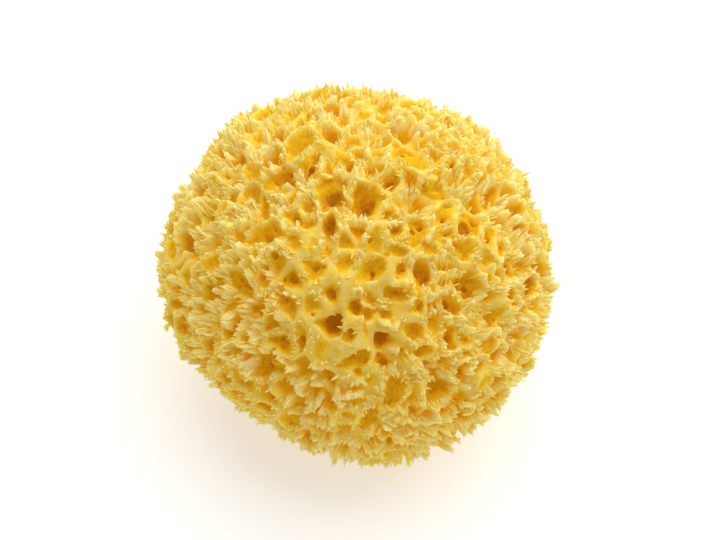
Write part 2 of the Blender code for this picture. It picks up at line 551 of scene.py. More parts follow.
class DomeMap:
    """An equal-area map of the growth lines' directions, which holds the walls and hollows.

    Straight up is its middle, and the cut face's plane a circle round that at a distance
    of 1.
    """

    # Its width in steps, and how far it reaches from its middle
    SIDE = 760
    EDGE = 1.04
    # The fewest mm of the tip surface that a distance of 1 spans, and one step's on the crown
    LEAST_SPAN = 58
    CROWN_STEP = 0.35
    # How far round a hollow the map holds its wall, and what it holds elsewhere, in mm
    ROUND_HOLLOW = 6.5
    FARTHEST = 6.0
    # Noise by which the crests rise and fall: its grain in mm, and its share of their depth,
    # and the least and most that it leaves of that
    UNEVENNESS = ((3.5, 0.35), (9, 0.3))
    UNEVEN_WITHIN = (0.25, 2)
    # How far to each side a slope is read, and how much it is then turned, in mm
    SLOPE_REACH = 0.5
    SLOPE_NOISE = 0.2

    def __init__(self, hollows, crown_web, flank_web):
        self.step = 2 * self.EDGE / (self.SIDE - 1)
        place = np.linspace(-self.EDGE, self.EDGE, self.SIDE)
        across, along = np.meshgrid(place, place, indexing="ij")
        square = np.clip(across**2 + along**2, 0, 1.2)
        stretch = np.sqrt(2 - square)
        growth = unit(np.stack([across * stretch, along * stretch, 1 - square], -1))
        points = tips_along(growth)
        flank = flank_share(points)
        rng = np.random.default_rng(WALL_SEED)
        unevenness = sum(
            smooth_noise((self.SIDE, self.SIDE), grain / self.CROWN_STEP, rng) * height
            for grain, height in self.UNEVENNESS
        )
        crest = crown_web + (flank_web - crown_web) * flank
        self.crest = (crest * np.clip(1 + unevenness, *self.UNEVEN_WITHIN)).astype(np.float32)
        self.flank = flank.astype(np.float32)
        first = np.full((self.SIDE, self.SIDE), self.FARTHEST)
        second = first.copy()
        owner = np.zeros((self.SIDE, self.SIDE), int)
        for n, hollow in enumerate(hollows):
            mid = np.array(self.place(*hollow.mouth)).round().astype(int)
            reach = hollow.half_length + self.ROUND_HOLLOW
            half = round(reach / self.LEAST_SPAN / self.step)
            low, high = np.clip(mid - half, 0, self.SIDE), np.clip(mid + half, 0, self.SIDE)
            part = (slice(low[0], high[0]), slice(low[1], high[1]))
            offset = points[part] - hollow.mouth
            oval = np.hypot(
                offset @ hollow.across / hollow.half_width,
                offset @ hollow.along / hollow.half_length,
            )
            away = (oval - 1) * math.sqrt(hollow.half_width * hollow.half_length)
            nearer = away < first[part]
            second[part] = np.where(nearer, first[part], np.minimum(second[part], away))
            owner[part] = np.where(nearer, n, owner[part])
            first[part] = np.minimum(first[part], away)
        self.wall = ((second - first) / 2).astype(np.float32)
        depths = np.array([hollow.depth for hollow in hollows])
        shelf = 1 - CROWN_SHELF * (1 - flank) * ease(first, 0, SHELF_REACH)
        self.floor = (self.crest + depths[owner] * shelf).astype(np.float32)

    def place(self, x, y, z):
        """Where the growth lines through these points lie on the map, in its steps."""
        away = np.sqrt(x * x + y * y + z * z)
        scale = 1 / (np.sqrt(np.maximum(away * (away + z), 1e-6)) * self.step)
        return x * scale + self.EDGE / self.step, y * scale + self.EDGE / self.step

    def slopes(self, tips, rng):
        """The way to the middle of the nearest hollow, across the growth lines to these tips."""
        slope = np.zeros_like(tips)
        for side in tangents(unit(tips)):
            ahead = self.read((self.wall,), *(tips + side * self.SLOPE_REACH).T)[0]
            behind = self.read((self.wall,), *(tips - side * self.SLOPE_REACH).T)[0]
            turned = ahead - behind + rng.normal(0, self.SLOPE_NOISE, len(tips))
            slope += side * turned[:, None]
        return unit(slope)

    def read(self, layers, x, y, z):
        """These layers' values on the growth lines through these points."""
        across, along = self.place(x, y, z)
        across = np.clip(across, 0, self.SIDE - 1.001).astype(np.float32)
        along = np.clip(along, 0, self.SIDE - 1.001).astype(np.float32)
        column, row = across.astype(np.int32), along.astype(np.int32)
        s, t = across - column, along - row
        spot = column * self.SIDE + row
        values = []
        for layer in layers:
            flat = layer.ravel()
            low = flat[spot] * (1 - t) + flat[spot + 1] * t
            high = flat[spot + self.SIDE] * (1 - t) + flat[spot + self.SIDE + 1] * t
            values.append(low * (1 - s) + high * s)
        return values


def crest_thickness(flank):
    """Half the thickness of the walls at their crests, in mm."""
    return CREST_HALF - FLANK_THINNER * flank


def smooth_noise(shape, cell, rng):
    """Smooth noise of unit spread on a grid; cell is its grain in grid steps."""
    field = rng.standard_normal([int(n / cell) + 5 for n in shape]).astype(np.float32)
    for n in shape:
        place = np.arange(n) / cell
        first = place.astype(int)
        t = (place - first)[:, None]
        parts = np.hstack([
            (1 - t) ** 3 / 6,
            (3 * t**3 - 6 * t**2 + 4) / 6,
            (-3 * t**3 + 3 * t**2 + 3 * t + 1) / 6,
            t**3 / 6,
        ])
        weights = np.zeros((n, field.shape[0]), np.float32)
        for k in range(4):
            weights[np.arange(n), first + k] = parts[:, k]
        field = np.tensordot(field, weights, axes=(0, 1))
    return field / field.std()


def smooth_max(a, b, blend):
    """The larger of two fields, with the corner between them rounded."""
    near = np.clip(blend - np.abs(a - b), 0, None) / blend
    return np.maximum(a, b) + near * near * (blend / 4)


class Clay:
    """The sponge on a grid of voxels. Its value is above 0 inside, in mm.

    It is worked out in an even form, which smooth noise then warps, so that no pore comes
    out as a plain oval.
    """

    # How far the grid reaches past the tuft tips, and how far round a pore and a rod the
    # clay is worked, in mm
    MARGIN = 4.0
    PORE_MARGIN = 2
    ROD_MARGIN = 1.2
    # How far the corner between a rod and what it grows from is rounded, in mm
    ROD_BLEND = 0.5
    # How much more slowly the clay's value falls at a pore's end than at its walls
    PORE_END = 0.6
    # Grain and shift of the warp, in mm
    BROAD_WARP = (5.5, 0.6)
    FINE_WARP = (2.2, 0.14)
    # The depths below the tuft tips between which the web is worked out, in mm
    SKIN = (-2, 18)

    def __init__(self, voxel, dome):
        self.voxel = voxel
        self.dome = dome
        reach = np.array(HALF_AXES) + self.MARGIN
        self.low = np.array((-reach[0], -reach[1], -4 * voxel))
        high = np.array((reach[0], reach[1], MIDDLE_HEIGHT + reach[2]))
        self.shape = np.ceil((high - self.low) / voxel).astype(int) + 1
        axes = [
            (low + np.arange(n) * voxel).astype(np.float32)
            for low, n in zip(self.low, self.shape)
        ]
        self.x = axes[0][:, None, None]
        self.y = axes[1][None, :, None]
        self.z = axes[2][None, None, :]
        self.rng = np.random.default_rng(WARP_SEED)
        self.warp = [self.noise(*self.BROAD_WARP) + self.noise(*self.FINE_WARP) for _ in range(3)]

    def noise(self, grain, height):
        """Smooth noise with a grain and a height in mm."""
        return smooth_noise(self.shape, grain / self.voxel, self.rng) * np.float32(height)

    def lay_web(self):
        """The dome of web below the tuft tips, hollowed between its walls."""
        x, y, z = self.x, self.y, self.z - np.float32(MIDDLE_HEIGHT)
        ax, ay, az = (np.float32(a) for a in HALF_AXES)
        rho = np.sqrt((x / ax) ** 2 + (y / ay) ** 2 + (z / az) ** 2) + np.float32(1e-3)
        steep = np.sqrt((x / ax**2) ** 2 + (y / ay**2) ** 2 + (z / az**2) ** 2) / rho
        raised = swell(x / ax / rho, y / ay / rho, z / az / rho)
        steep = np.maximum(steep, np.float32(1e-4))
        self.tip_depth = ((1 - rho) / steep + raised).astype(np.float32)
        self.value = self.tip_depth.copy()
        skin = np.nonzero((self.tip_depth > self.SKIN[0]) & (self.tip_depth < self.SKIN[1]))
        depth = self.tip_depth[skin]
        places = [
            axis.ravel()[index] + warp[skin]
            for axis, index, warp in zip((self.x, self.y, self.z), skin, self.warp)
        ]
        dome = self.dome
        wall, floor, crest, flank = dome.read(
            (dome.wall, dome.floor, dome.crest, dome.flank), *places
        )
        flare = WALL_FLARE * np.clip(depth - crest, 0, FLARE_DEPTH)
        thickness = crest_thickness(flank) + flare
        webbed = smooth_max(thickness - wall, depth - floor, np.float32(CORNER_BLEND))
        self.value[skin] = np.minimum(depth - crest, webbed)

    def window(self, ends, margin):
        """The voxels around these points of the even form, and their places in it."""
        ends = np.array(ends)
        nearest = np.round((ends - self.low) / self.voxel).astype(int)
        nearest = tuple(np.clip(nearest, 0, self.shape - 1).T)
        ends = ends - np.stack([warp[nearest] for warp in self.warp], 1)
        first = np.floor((ends.min(0) - margin - self.low) / self.voxel).astype(int)
        last = np.ceil((ends.max(0) + margin - self.low) / self.voxel).astype(int) + 1
        first, last = np.clip(first, 0, self.shape), np.clip(last, 0, self.shape)
        if (last <= first).any():
            return None, None
        part = tuple(slice(a, b) for a, b in zip(first, last))
        places = [
            self.x[part[0]] + self.warp[0][part],
            self.y[:, part[1]] + self.warp[1][part],
            self.z[:, :, part[2]] + self.warp[2][part],
        ]
        return part, places

    def sink_pore(self, pore, depth, share):
        """Opens an oval pore from its mouth inwards, at this share of its full width."""
        half_width, half_length = pore.half_width * share, pore.half_length * share
        end = pore.mouth + pore.inward * depth
        part, places = self.window((pore.mouth, end), half_length + self.PORE_MARGIN)
        if part is None:
            return
        offset = [p - np.float32(m) for p, m in zip(places, pore.mouth)]

        def along(axis):
            return sum(o * np.float32(a) for o, a in zip(offset, axis))

        inward = along(pore.inward) / depth
        oval = np.hypot(along(pore.across) / half_width, along(pore.along) / half_length)
        narrow = np.sqrt(1 - np.clip(inward, 0, 1) ** 4)
        past_end = (inward - 1) * depth * self.PORE_END
        wall = np.maximum((oval - narrow) * half_width, past_end)
        self.value[part] = np.minimum(self.value[part], wall)

    def rod(self, start, end, start_radius, end_radius):
        """The distance to a tapered round rod: below 0 inside it."""
        margin = max(start_radius, end_radius) + self.ROD_MARGIN
        part, places = self.window((start, end), margin)
        if part is None:
            return None, None
        run = end - start
        offset = [p - np.float32(s) for p, s in zip(places, start)]
        share = sum(o * np.float32(r) for o, r in zip(offset, run)) / np.float32(run @ run)
        share = np.clip(share, 0, 1)
        square = sum((o - share * np.float32(r)) ** 2 for o, r in zip(offset, run))
        return part, np.sqrt(square) - (start_radius + (end_radius - start_radius) * share)

    def bore(self, start, end, start_radius, end_radius):
        """Takes out a tapered rod."""
        part, away = self.rod(start, end, start_radius, end_radius)
        if part is not None:
            self.value[part] = np.minimum(self.value[part], away)

    def grow(self, start, end, start_radius, end_radius):
        """Adds a tapered rod, fused to what it grows from."""
        part, away = self.rod(start, end, start_radius, end_radius)
        if part is not None:
            self.value[part] = smooth_max(self.value[part], -away, self.ROD_BLEND)

    def sample(self, field, points):
        """The field's values at points in mm, between its voxels."""
        place = (points - self.low) / self.voxel
        first = np.clip(np.floor(place).astype(int), 0, self.shape - 2)
        t = np.clip(place - first, 0, 1)
        total = np.zeros(len(points))
        for corner in range(8):
            step = np.array((corner & 1, corner >> 1 & 1, corner >> 2 & 1))
            weight = np.where(step, t, 1 - t).prod(1)
            total += weight * field[tuple((first + step).T)]
        return total

    def in_even_form(self, points):
        """The places in the even form of these points of the clay."""
        return points + np.stack([self.sample(warp, points) for warp in self.warp], 1)

    def settled(self, points):
        """Where the clay holds these points of the even form."""
        moved = points
        for _ in range(2):
            moved = points - (self.in_even_form(moved) - moved)
        return moved

    def enclosure(self, reach):
        """How much of the space around each voxel is sponge, from 0 to 1."""
        share = (self.value > 0).astype(np.float32)
        half = max(1, round(reach / self.voxel))
        for _ in range(2):
            for axis in range(3):
                share = box_mean(share, half, axis)
        return share

    def surface(self):
        """The clay's skin as points in mm and faces."""
        grid = openvdb.FloatGrid(3.0)
        grid.copyFromArray(np.clip(-self.value, -3, 3).astype(np.float32))
        points, _, quads = grid.convertToPolygons(0.0, 0.0)
        return points * self.voxel + self.low, quads.astype(np.int64)


def box_mean(field, half, axis):
    """The mean over 2 * half + 1 voxels along one axis."""
    pad = [(0, 0)] * 3
    pad[axis] = (half + 1, half)
    total = np.cumsum(np.pad(field, pad, mode="edge"), axis=axis, dtype=np.float32)
    width = 2 * half + 1
    ahead = [slice(None)] * 3
    behind = [slice(None)] * 3
    ahead[axis] = slice(width, None)
    behind[axis] = slice(None, -width)
    return (total[tuple(ahead)] - total[tuple(behind)]) / width


def tangents(directions):
    """Two unit vectors across each direction."""
    first = unit(np.cross(directions, (0.31, 0.17, 0.94)))
    return first, np.cross(directions, first)


def tips_on_dome(count, seed):
    """Points spread over the tip surface, clear of the base."""
    directions = np.array(list(even_directions(count, TIP_JITTER, random.Random(seed))))
    tips = tip_surface(directions)
    return tips[tips[:, 2] > TIP_BASE]


def growth_way(out, spread, rng):
    """The way tufts grow here: outwards, leaning away from the crown, each a little its own."""
    crown = unit(tip_surface(toward(0, CROWN_RISE)))
    facing = (out @ crown)[:, None]
    lean = (out - crown * facing) * np.clip(facing, 0, 1) * TUFT_LEAN
    return unit(out + lean + rng.normal(0, spread, out.shape))


class Tufts:
    """Tufts that stand on the walls' crests: a few tall ones among many low ones."""

    # How far from its foot a tuft gathers fibres, and from a wall's middle a foot stands, in mm
    REACH = 2.4
    ON_WALL = 0.8
    # The share of the flanks' tufts that the crown has too, and of the flanks' that are tall
    CROWN_SHARE = 0.3
    TALL_SHARE = 0.3
    # How high they rise, as shares of the crest's depth below the tuft tips, and by how many
    # mm more
    LOW_RISE = (0.3, 0.7)
    TALL_RISE = (0.9, 1.2)
    RISE = 0.3
    # How much nearer to each other than their feet the fibres' points stand
    TALL_NARROWING = 0.6
    LOW_NARROWING = 0.7
    # How much the ways in which they grow differ
    SPREAD = 0.15

    def __init__(self, dome, count, rng):
        tips = tips_on_dome(count, TUFT_PLACE_SEED)
        wall, crest, flank = dome.read((dome.wall, dome.crest, dome.flank), *tips.T)
        chance = np.exp(-((wall / self.ON_WALL) ** 2))
        chance = chance * (self.CROWN_SHARE + (1 - self.CROWN_SHARE) * flank)
        kept = rng.random(len(tips)) < chance
        tips, crest, flank = tips[kept], crest[kept], flank[kept]
        out = unit(tips)
        way = growth_way(out, self.SPREAD, rng)
        tall = rng.random(len(out)) < self.TALL_SHARE * flank
        low_rise = rng.uniform(*self.LOW_RISE, len(out))
        tall_rise = rng.uniform(*self.TALL_RISE, len(out))
        height = crest * np.where(tall, tall_rise, low_rise) + self.RISE
        self.narrowing = np.where(tall, self.TALL_NARROWING, self.LOW_NARROWING)
        self.foot = tips - out * crest[:, None]
        self.tip = self.foot + way * height[:, None]
        self.along = np.cross(out, dome.slopes(tips, rng))
        self.finder = KDTree(len(tips))
        for index, foot in enumerate(self.foot):
            self.finder.insert(foot, index)
        self.finder.balance()

    def nearest(self, points):
        """The nearest tuft to each point, and how far away its foot is."""
        found = [self.finder.find(point)[1:] for point in points]
        index, away = zip(*found)
        return np.array(index), np.array(away)


def basin(pore):
    """The shallow hollow round a pore's mouth."""
    hollow = copy.copy(pore)
    hollow.half_width = pore.half_width * BASIN_WIDTH
    hollow.half_length = pore.half_length * BASIN_WIDTH
    hollow.depth = pore.depth * BASIN_DEPTH
    return hollow


def open_pores(clay, pores, rng):
    """Sinks each pore below its basin, and bores two ways out of its side walls."""
    dome = clay.dome
    for pore in pores:
        layers = dome.read((dome.crest, dome.flank), *pore.mouth[:, None])
        crest, flank = (layer[0] for layer in layers)
        deeper = max(LEAST_DEEPER, pore.depth - BASIN_TAKES)
        share = SINK_SHARE + SINK_PER_MM * deeper + SINK_CROWN * (1 - flank)
        clay.sink_pore(pore, crest + deeper, share)
        for _ in range(2):
            down = pore.inward * (crest + pore.depth * rng.uniform(*SIDE_START))
            turn = rng.uniform(0, 2 * math.pi)
            side = pore.across * math.cos(turn) + pore.along * math.sin(turn)
            way = unit(side + pore.inward * rng.uniform(*SIDE_INWARD))
            radius = rng.uniform(*SIDE_RADIUS)
            start = pore.mouth + down
            reach = pore.half_length + rng.uniform(*SIDE_REACH)
            clay.bore(start, start + way * reach, radius, radius * BORE_END)
    for pair in JOINED_PORES:
        joined = [pores[n] for n in pair]
        ends = [pore.mouth + pore.inward * pore.depth * JOINED_DEPTH for pore in joined]
        clay.bore(*ends, *(pore.half_width * JOINED_WIDTH for pore in joined))


def bore_fine_pores(clay, count, rng):
    """Bores short fine pores into the walls' crests and the hollows' floors."""
    dome = clay.dome
    for direction in even_directions(count, FINE_JITTER, rng):
        mouth = tip_surface(direction)
        if mouth[2] < FINE_BASE:
            continue
        wall, crest, floor = dome.read((dome.wall, dome.crest, dome.floor), *mouth[:, None])
        surface = crest[0] if wall[0] < 1 else floor[0]
        inward = unit(-unit(mouth) + np.array([rng.gauss(0, FINE_TURN) for _ in range(3)]))
        radius = FINE_RADIUS + FINE_WIDER * rng.random() ** 2
        start = mouth - unit(mouth) * (surface - 1)
        end = start + inward * rng.uniform(*FINE_DEPTH)
        clay.bore(start, end, radius * FINE_MOUTH, radius * FINE_END)


def raise_tufts(clay, tufts, rng):
    """Grows each tuft's root as two short cones side by side."""
    for foot, tip, along in zip(tufts.foot, tufts.tip, tufts.along):
        run = tip - foot
        width = min(ROOT_MOST, ROOT_RADIUS + ROOT_WIDER * np.linalg.norm(run))
        for side in (-width, width):
            base = foot + along * (side * rng.uniform(*ROOT_APART))
            top = foot + along * (side * rng.uniform(*ROOT_APART_ABOVE))
            top = top + run * rng.uniform(*ROOT_TOP)
            clay.grow(base - run * ROOT_SUNK, top, width, width * ROOT_POINT)


def bore_cut_face(clay, rng):
    """Opens the pores that the cut laid bare."""
    for _ in range(CUT_PORES):
        away = CUT_REACH * math.sqrt(rng.random())
        turn = rng.uniform(0, 2 * math.pi)
        start = np.array((away * math.cos(turn), away * math.sin(turn), CUT_START))
        radius = CUT_RADIUS + CUT_WIDER * rng.random() ** 3
        end = start * (1, 1, -1) + (0, 0, rng.uniform(*CUT_DEPTH))
        clay.bore(start, end, radius, radius * BORE_END)


def shape_clay(form):
    """The whole sponge in clay, and the tufts that stand on it."""
    rng = random.Random(CLAY_SEED)
    pores = grown_pores()
    hollows = small_hollows(pores, rng)
    basins = [basin(pore) for pore in pores]
    dome = DomeMap(basins + hollows, in_mm(form.crown_web), in_mm(form.flank_web))
    clay = Clay(in_mm(form.voxel), dome)
    clay.lay_web()
    open_pores(clay, pores, rng)
    bore_fine_pores(clay, form.fine_pores, rng)
    tufts = Tufts(dome, form.tufts, np.random.default_rng(TUFT_SEED))
    raise_tufts(clay, tufts, rng)
    bore_cut_face(clay, rng)
    clay.value += clay.noise(SKIN_GRAIN, SKIN_HEIGHT)
    clay.value = np.minimum(clay.value, clay.z)
    return clay, tufts


def largest_island(count, faces):
    """Which vertices are in the largest joined part of the mesh."""
    a = faces.ravel()
    b = np.roll(faces, -1, axis=1).ravel()
    label = np.arange(count)
    while True:
        low = np.minimum(label[a], label[b])
        new = label.copy()
        np.minimum.at(new, a, low)
        np.minimum.at(new, b, low)
        new = new[new]
        if (new == label).all():
            break
        label = new
    names, counts = np.unique(label, return_counts=True)
    return label == names[counts.argmax()]


def mesh_object(name, points, faces):
    """A mesh object from points in mm and faces with one number of corners."""
    mesh = bpy.data.meshes.new(name)
    count, corners = faces.shape
    mesh.vertices.add(len(points))
    mesh.vertices.foreach_set("co", (points * MM).astype(np.float32).ravel())
    mesh.loops.add(count * corners)
    mesh.loops.foreach_set("vertex_index", faces.astype(np.int32).ravel())
    mesh.polygons.add(count)
    mesh.polygons.foreach_set("loop_start", np.arange(count, dtype=np.int32) * corners)
    mesh.update(calc_edges=True)
    obj = bpy.data.objects.new(name, mesh)
    bpy.context.scene.collection.objects.link(obj)
    return obj


def apply_modifiers(obj):
    """Takes what the modifiers make as the object's own mesh."""
    graph = bpy.context.evaluated_depsgraph_get()
    mesh = bpy.data.meshes.new_from_object(obj.evaluated_get(graph))
    obj.modifiers.clear()
    old, obj.data = obj.data, mesh
    bpy.data.meshes.remove(old)


def points_of(obj):
    """The object's vertices in mm."""
    points = np.empty(len(obj.data.vertices) * 3, np.float32)
    obj.data.vertices.foreach_get("co", points)
    return points.reshape(-1, 3) / MM


def mark(obj, name, values):
    """Stores a value for each vertex."""
    attribute = obj.data.attributes.new(name, "FLOAT", "POINT")
    attribute.data.foreach_set("value", np.asarray(values, np.float32))


# What was last grown, by its sizes, so that the body and the fibres share one clay
GROWN = {}
# How far round a place the sponge is taken as closing it in, in mm
ENCLOSURE_REACH = 2.0


def grown(form):
    """The clay, its tufts and its enclosure, shaped once for each set of sizes."""
    sizes = tuple(getattr(form, name) for name in SpongeForm.__annotations__)
    if sizes not in GROWN:
        GROWN.clear()
        clay, tufts = shape_clay(form)
        GROWN[sizes] = (clay, tufts, clay.enclosure(ENCLOSURE_REACH))
    return GROWN[sizes]


def finish_piece(obj, clay, enclosure, material):
    """The marks, material and frame facts that all the sponge's pieces share."""
    places = points_of(obj)
    dome = clay.dome
    layers = (dome.wall, dome.crest, dome.flank)
    wall, crest, flank = dome.read(layers, *clay.in_even_form(places).T)
    below = clay.sample(clay.tip_depth, places) - crest
    mark(obj, "below_crest", below)
    inside = ease(wall - crest_thickness(flank), -0.3, 0.8)
    mark(obj, "hollow", inside * ease(below, -0.6, 0.6))
    mark(obj, "enclosure", clay.sample(enclosure, places))
    obj.data.shade_smooth()
    obj.data.materials.append(material)
    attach(obj, BODY)


class SPONGE_OT_body(bpy.types.Operator):
    """Grow the sponge's body: its web, its pores and the feet of its tufts"""

    bl_idname = "sponge.body"
    bl_label = "Grow Body"

    def execute(self, context):
        clay, _, enclosure = grown(context.scene.sponge_form)
        points, faces = clay.surface()
        if not len(faces):
            raise RuntimeError("These sizes leave no sponge in the clay")
        keep = largest_island(len(points), faces)
        index = np.cumsum(keep) - 1
        faces = index[faces[keep[faces[:, 0]]]]
        body = mesh_object("sponge_body", points[keep], faces)
        thin = body.modifiers.new("thin", "DECIMATE")
        thin.ratio = min(1.0, context.scene.sponge_form.body_triangles / (2 * len(faces)))
        apply_modifiers(body)
        finish_piece(body, clay, enclosure, spongin_material())
        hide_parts(NODE)
        return {"FINISHED"}


def fibre_template():
    """A four-sided fibre of unit length and foot radius along +Z, full until near its point."""
    form = bmesh.new()
    bmesh.ops.create_cone(form, cap_ends=True, segments=4, radius1=1, radius2=0, depth=1)
    bmesh.ops.translate(form, vec=(0, 0, 0.5), verts=form.verts)
    for height in (0.5, 0.85):
        bmesh.ops.bisect_plane(
            form,
            geom=form.verts[:] + form.edges[:] + form.faces[:],
            plane_co=(0, 0, height),
            plane_no=(0, 0, 1),
        )
    bmesh.ops.triangulate(form, faces=form.faces[:])
    form.verts.index_update()
    points = np.array([vert.co[:] for vert in form.verts])
    faces = np.array([[vert.index for vert in face.verts] for face in form.faces])
    form.free()
    rise = np.minimum(points[:, 2], 0.99)
    points[:, :2] *= ((1 - rise**2) ** 0.8 / (1 - rise))[:, None]
    return points, faces


class Fibres:
    """Flat fibres by their feet, runs to their points, broad sides and half widths."""

    # How far they bend, as a share of their length, and how unevenly they are turned
    BEND = 0.055
    TURN = 0.25
    # Their thickness as a share of their width, and the least height they lie at, in mm
    FLATNESS = (0.4, 0.6)
    LOWEST = 0.05

    def __init__(self, foot, run, side, width):
        self.foot, self.run, self.side, self.width = foot, run, side, width

    def joined(self, other):
        """These fibres and the others as one group."""
        return Fibres(*(
            np.concatenate([getattr(self, name), getattr(other, name)])
            for name in ("foot", "run", "side", "width")
        ))

    def settled(self, clay):
        """The same fibres where the clay holds them."""
        foot = clay.settled(self.foot)
        return Fibres(foot, clay.settled(self.foot + self.run) - foot, self.side, self.width)

    def rooted_in(self, clay):
        """Those that start inside the clay and whose points stand clear of it."""
        kept = clay.sample(clay.value, self.foot) > 0
        kept &= clay.sample(clay.value, self.foot + self.run) < CLEAR_OF_CLAY
        return Fibres(self.foot[kept], self.run[kept], self.side[kept], self.width[kept])

    def mesh(self, template, rng):
        """Every fibre's points, each bent a little."""
        count = len(self.foot)
        length = np.linalg.norm(self.run, axis=1)
        bend = rng.normal(0, self.BEND, (count, 3)) * length[:, None]
        heading = unit(self.run)
        level = self.side + rng.normal(0, self.TURN, (count, 3))
        side = unit(level - heading * (level * heading).sum(1, keepdims=True))
        other = np.cross(heading, side)
        x, y, rise = template.T
        centre = self.foot[:, None] + heading[:, None] * np.outer(length, rise)[..., None]
        centre = centre + bend[:, None] * (rise**2)[:, None]
        flat = rng.uniform(*self.FLATNESS, count) * self.width
        points = centre + side[:, None] * np.outer(self.width, x)[..., None]
        points = points + other[:, None] * np.outer(flat, y)[..., None]
        points[..., 2] = np.maximum(points[..., 2], self.LOWEST)
        return points


# How deep under the sponge's skin a fibre starts, in mm
FIBRE_DEPTH = 0.5
# The tufts' fibres: how far from a wall they may start, their half widths, and how far
# their points stray, in mm, and how high in their tuft they end, as shares of its height,
# with the share of that which those at the tuft's edge lack
FIBRE_BESIDE = 0.9
FIBRE_WIDTH = (0.44, 0.82)
FIBRE_STRAY = 0.15
FIBRE_RISE = (0.72, 1.04)
FIBRE_EDGE_DROP = 0.5
# The share of them that is kept on the crown, and what the flanks have more
FIBRE_CROWN_SHARE = 0.1
FIBRE_FLANK_SHARE = 0.7


def tuft_fibres(dome, tufts, count, rng):
    """Fibres that lie up the walls' sides and meet in the tufts, where they part into points."""
    tips = tips_on_dome(count, FIBRE_PLACE_SEED)
    wall, crest, flank = dome.read((dome.wall, dome.crest, dome.flank), *tips.T)
    beside = np.clip(wall - crest_thickness(flank), 0, None)
    chosen = rng.random(len(tips)) < FIBRE_CROWN_SHARE + FIBRE_FLANK_SHARE * flank
    kept = chosen & (beside < FIBRE_BESIDE)
    tips, crest, beside = tips[kept], crest[kept, None], beside[kept, None]
    out = unit(tips)
    level = tips - out * crest
    owner, away = tufts.nearest(level)
    joined = away < tufts.REACH
    level, out, owner, beside = (part[joined] for part in (level, out, owner, beside))
    share = (away[joined] / tufts.REACH)[:, None]
    foot = level - out * (beside / WALL_FLARE + FIBRE_DEPTH)
    apart = level - tufts.foot[owner]
    rise = (1 - FIBRE_EDGE_DROP * share) * rng.uniform(*FIBRE_RISE, share.shape)
    tip = tufts.foot[owner] + (tufts.tip - tufts.foot)[owner] * rise
    tip += apart * tufts.narrowing[owner, None]
    run = tip - foot + rng.normal(0, FIBRE_STRAY, foot.shape)
    return Fibres(foot, run, tufts.along[owner], rng.uniform(*FIBRE_WIDTH, len(run)))


# The teeth round the hollows: how far on the wall's side of the rim they stand and how far
# from there they may, how deep below the crest they start, their length, what the flanks'
# add to it, and their half width, in mm
TOOTH_ON_WALL = 0.1
TOOTH_FROM_RIM = 0.4
TOOTH_BELOW = (0.1, 0.8)
TOOTH_LENGTH = (1.4, 2.2)
TOOTH_FLANK_LENGTH = 0.6
TOOTH_WIDTH = (0.4, 0.66)
# How strongly they lean over the hollow, the share of that which the flanks' lack, and how
# much the ways in which they grow differ
TOOTH_LEAN = (0.2, 1.1)
TOOTH_FLANK_LEAN = 0.45
TOOTH_SPREAD = 0.18
# The share of them that is kept on the crown, and what the flanks have more
TOOTH_CROWN_SHARE = 0.4
TOOTH_FLANK_SHARE = 0.6


def rim_teeth(dome, count, rng):
    """Short teeth that fringe the hollows and lean over them."""
    tips = tips_on_dome(count, TOOTH_PLACE_SEED)
    wall, crest, flank = dome.read((dome.wall, dome.crest, dome.flank), *tips.T)
    kept = np.abs(wall - crest_thickness(flank) + TOOTH_ON_WALL) < TOOTH_FROM_RIM
    kept &= rng.random(len(tips)) < TOOTH_CROWN_SHARE + TOOTH_FLANK_SHARE * flank
    tips, crest = tips[kept], crest[kept]
    over = dome.slopes(tips, rng)
    out = unit(tips)
    below = crest + rng.uniform(*TOOTH_BELOW, len(tips))
    foot = tips - out * below[:, None] - over * FIBRE_DEPTH
    lean = rng.uniform(*TOOTH_LEAN, (len(tips), 1))
    lean = lean * (1 - TOOTH_FLANK_LEAN * flank[kept, None])
    heading = growth_way(out, TOOTH_SPREAD, rng) * (TOOTH_LEAN[1] - lean) + over * lean
    length = rng.uniform(*TOOTH_LENGTH, len(tips)) + TOOTH_FLANK_LENGTH * flank[kept]
    run = unit(heading) * length[:, None]
    return Fibres(foot, run, np.cross(out, over), rng.uniform(*TOOTH_WIDTH, len(tips)))


# The fibres' pieces, which hold a quarter of them each, in order from the back by the left
FIBRE_PIECES = (
    "back_left_fibres",
    "front_left_fibres",
    "front_right_fibres",
    "back_right_fibres",
)


class SPONGE_OT_fibres(bpy.types.Operator):
    """Grow the points of the tufts and the teeth round the hollows"""

    bl_idname = "sponge.fibres"
    bl_label = "Grow Fibres"

    def execute(self, context):
        form = context.scene.sponge_form
        clay, tufts, enclosure = grown(form)
        rng = np.random.default_rng(FIBRE_SEED)
        template, corners = fibre_template()
        fibres = tuft_fibres(clay.dome, tufts, form.wall_fibres, rng)
        fibres = fibres.joined(rim_teeth(clay.dome, form.rim_teeth, rng))
        fibres = fibres.settled(clay).rooted_in(clay)
        if not len(fibres.foot):
            raise RuntimeError("These sizes leave no fibre clear of the body")
        points = fibres.mesh(template, rng)
        order = np.argsort(np.arctan2(fibres.foot[:, 0], -fibres.foot[:, 1]))
        material = fibre_material()
        for name, group in zip(FIBRE_PIECES, np.array_split(order, len(FIBRE_PIECES))):
            faces = corners + (np.arange(len(group)) * len(template))[:, None, None]
            piece = mesh_object(name, points[group].reshape(-1, 3), faces.reshape(-1, 3))
            finish_piece(piece, clay, enclosure, material)
        return {"FINISHED"}


def connect(tree, node, **links):
    """Sets or links the node's inputs, by their names or, as in _0, by their numbers."""
    for name, value in links.items():
        socket = node.inputs[int(name[1:]) if name[1:].isdigit() else name.replace("_", " ")]
        if isinstance(value, bpy.types.NodeSocket):
            tree.links.new(value, socket)
        else:
            socket.default_value = value


